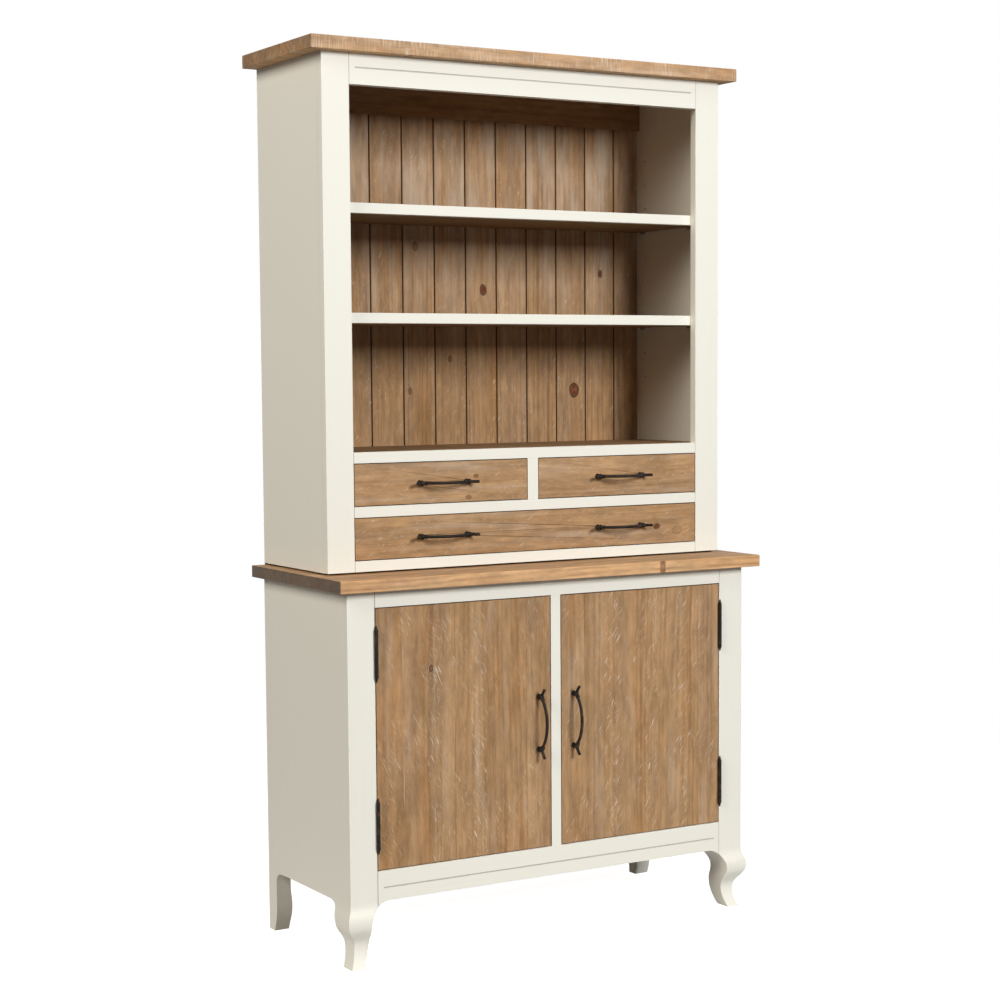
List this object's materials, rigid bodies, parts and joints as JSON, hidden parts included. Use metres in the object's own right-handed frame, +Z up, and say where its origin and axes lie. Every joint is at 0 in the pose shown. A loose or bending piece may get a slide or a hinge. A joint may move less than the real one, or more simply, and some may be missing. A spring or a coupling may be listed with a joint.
{
  "type": "buffet and hutch",
  "caption": "Painted pine buffet cupboard with plank doors on shaped legs, carrying an open shelf hutch with drawers and black bow pulls.",
  "frame": {"origin": "on the floor, under the centre of the buffet's top board", "axes": "+Z up, +X to the right seen from the front, -Y out of the front"},
  "size_m": [1.073, 0.4484, 1.923],
  "materials": {
    "cream_paint": "satin cream paint",
    "pine": "matte stained pine with whitewash in the grain",
    "plain_wood": "bare plywood and pine",
    "black_iron": "hand forged, waxed black",
    "steel": "zinc plated",
    "felt": "pressed felt"
  },
  "bodies": {
    "carcass": {"buffet_back_left_post": "cream_paint", "buffet_back_panel": "plain_wood", "buffet_back_right_post": "cream_paint", "buffet_bottom_rail": "cream_paint", "buffet_center_mullion": "cream_paint", "buffet_floor_panel": "plain_wood", "buffet_front_left_post": "cream_paint", "buffet_front_right_post": "cream_paint", "buffet_inner_shelf": "plain_wood", "buffet_left_side_panel": "cream_paint", "buffet_right_side_panel": "cream_paint", "buffet_top_board": "pine", "buffet_top_rail": "cream_paint", "carcass_screws": "black_iron", "door_stop": "plain_wood", "hinge_frame_leaves": "black_iron", "hinge_pins": "black_iron", "hutch_back_planks": "pine", "hutch_back_top_rail": "pine", "hutch_bottom_panel": "plain_wood", "hutch_bottom_rail": "cream_paint", "hutch_crown_board": "pine", "hutch_deck": "pine", "hutch_drawer_divider": "cream_paint", "hutch_drawer_guides": "plain_wood", "hutch_dust_panel": "plain_wood", "hutch_left_side_panel": "cream_paint", "hutch_left_stile": "cream_paint", "hutch_middle_drawer_rail": "cream_paint", "hutch_pads": "felt", "hutch_right_side_panel": "cream_paint", "hutch_right_stile": "cream_paint", "hutch_shelf_boards": "pine", "hutch_shelf_lippings": "cream_paint", "hutch_top_rail": "cream_paint", "hutch_upper_drawer_rail": "cream_paint", "shelf_pins": "steel", "tie_plates": "steel"},
    "left_door": {"left_door_battens": "plain_wood", "left_door_boards": "pine", "left_door_hinge_leaves": "black_iron", "left_door_pull": "black_iron", "left_door_screws": "black_iron"},
    "right_door": {"right_door_battens": "plain_wood", "right_door_boards": "pine", "right_door_hinge_leaves": "black_iron", "right_door_pull": "black_iron", "right_door_screws": "black_iron"},
    "left_drawer": {"left_drawer_bottom": "plain_wood", "left_drawer_box": "plain_wood", "left_drawer_front": "pine", "left_drawer_pull": "black_iron"},
    "right_drawer": {"right_drawer_bottom": "plain_wood", "right_drawer_box": "plain_wood", "right_drawer_front": "pine", "right_drawer_pull": "black_iron"},
    "wide_drawer": {"wide_drawer_bottom": "plain_wood", "wide_drawer_box": "plain_wood", "wide_drawer_front": "pine", "wide_drawer_pulls": "black_iron"}
  },
  "joints": [
    {"name": "left_door_hinge", "type": "hinge", "parent": "carcass", "child": "left_door", "pos_m": [-0.44, -0.1933, 0.48], "axis": [0, 0, -1], "range_deg": [0, 165]},
    {"name": "right_door_hinge", "type": "hinge", "parent": "carcass", "child": "right_door", "pos_m": [0.44, -0.1933, 0.48], "axis": [0, 0, 1], "range_deg": [0, 165]},
    {"name": "left_drawer_slide", "type": "slide", "parent": "carcass", "child": "left_drawer", "axis": [0, -1, 0], "range_m": [0, 0.2]},
    {"name": "right_drawer_slide", "type": "slide", "parent": "carcass", "child": "right_drawer", "axis": [0, -1, 0], "range_m": [0, 0.2]},
    {"name": "wide_drawer_slide", "type": "slide", "parent": "carcass", "child": "wide_drawer", "axis": [0, -1, 0], "range_m": [0, 0.2]}
  ]
}
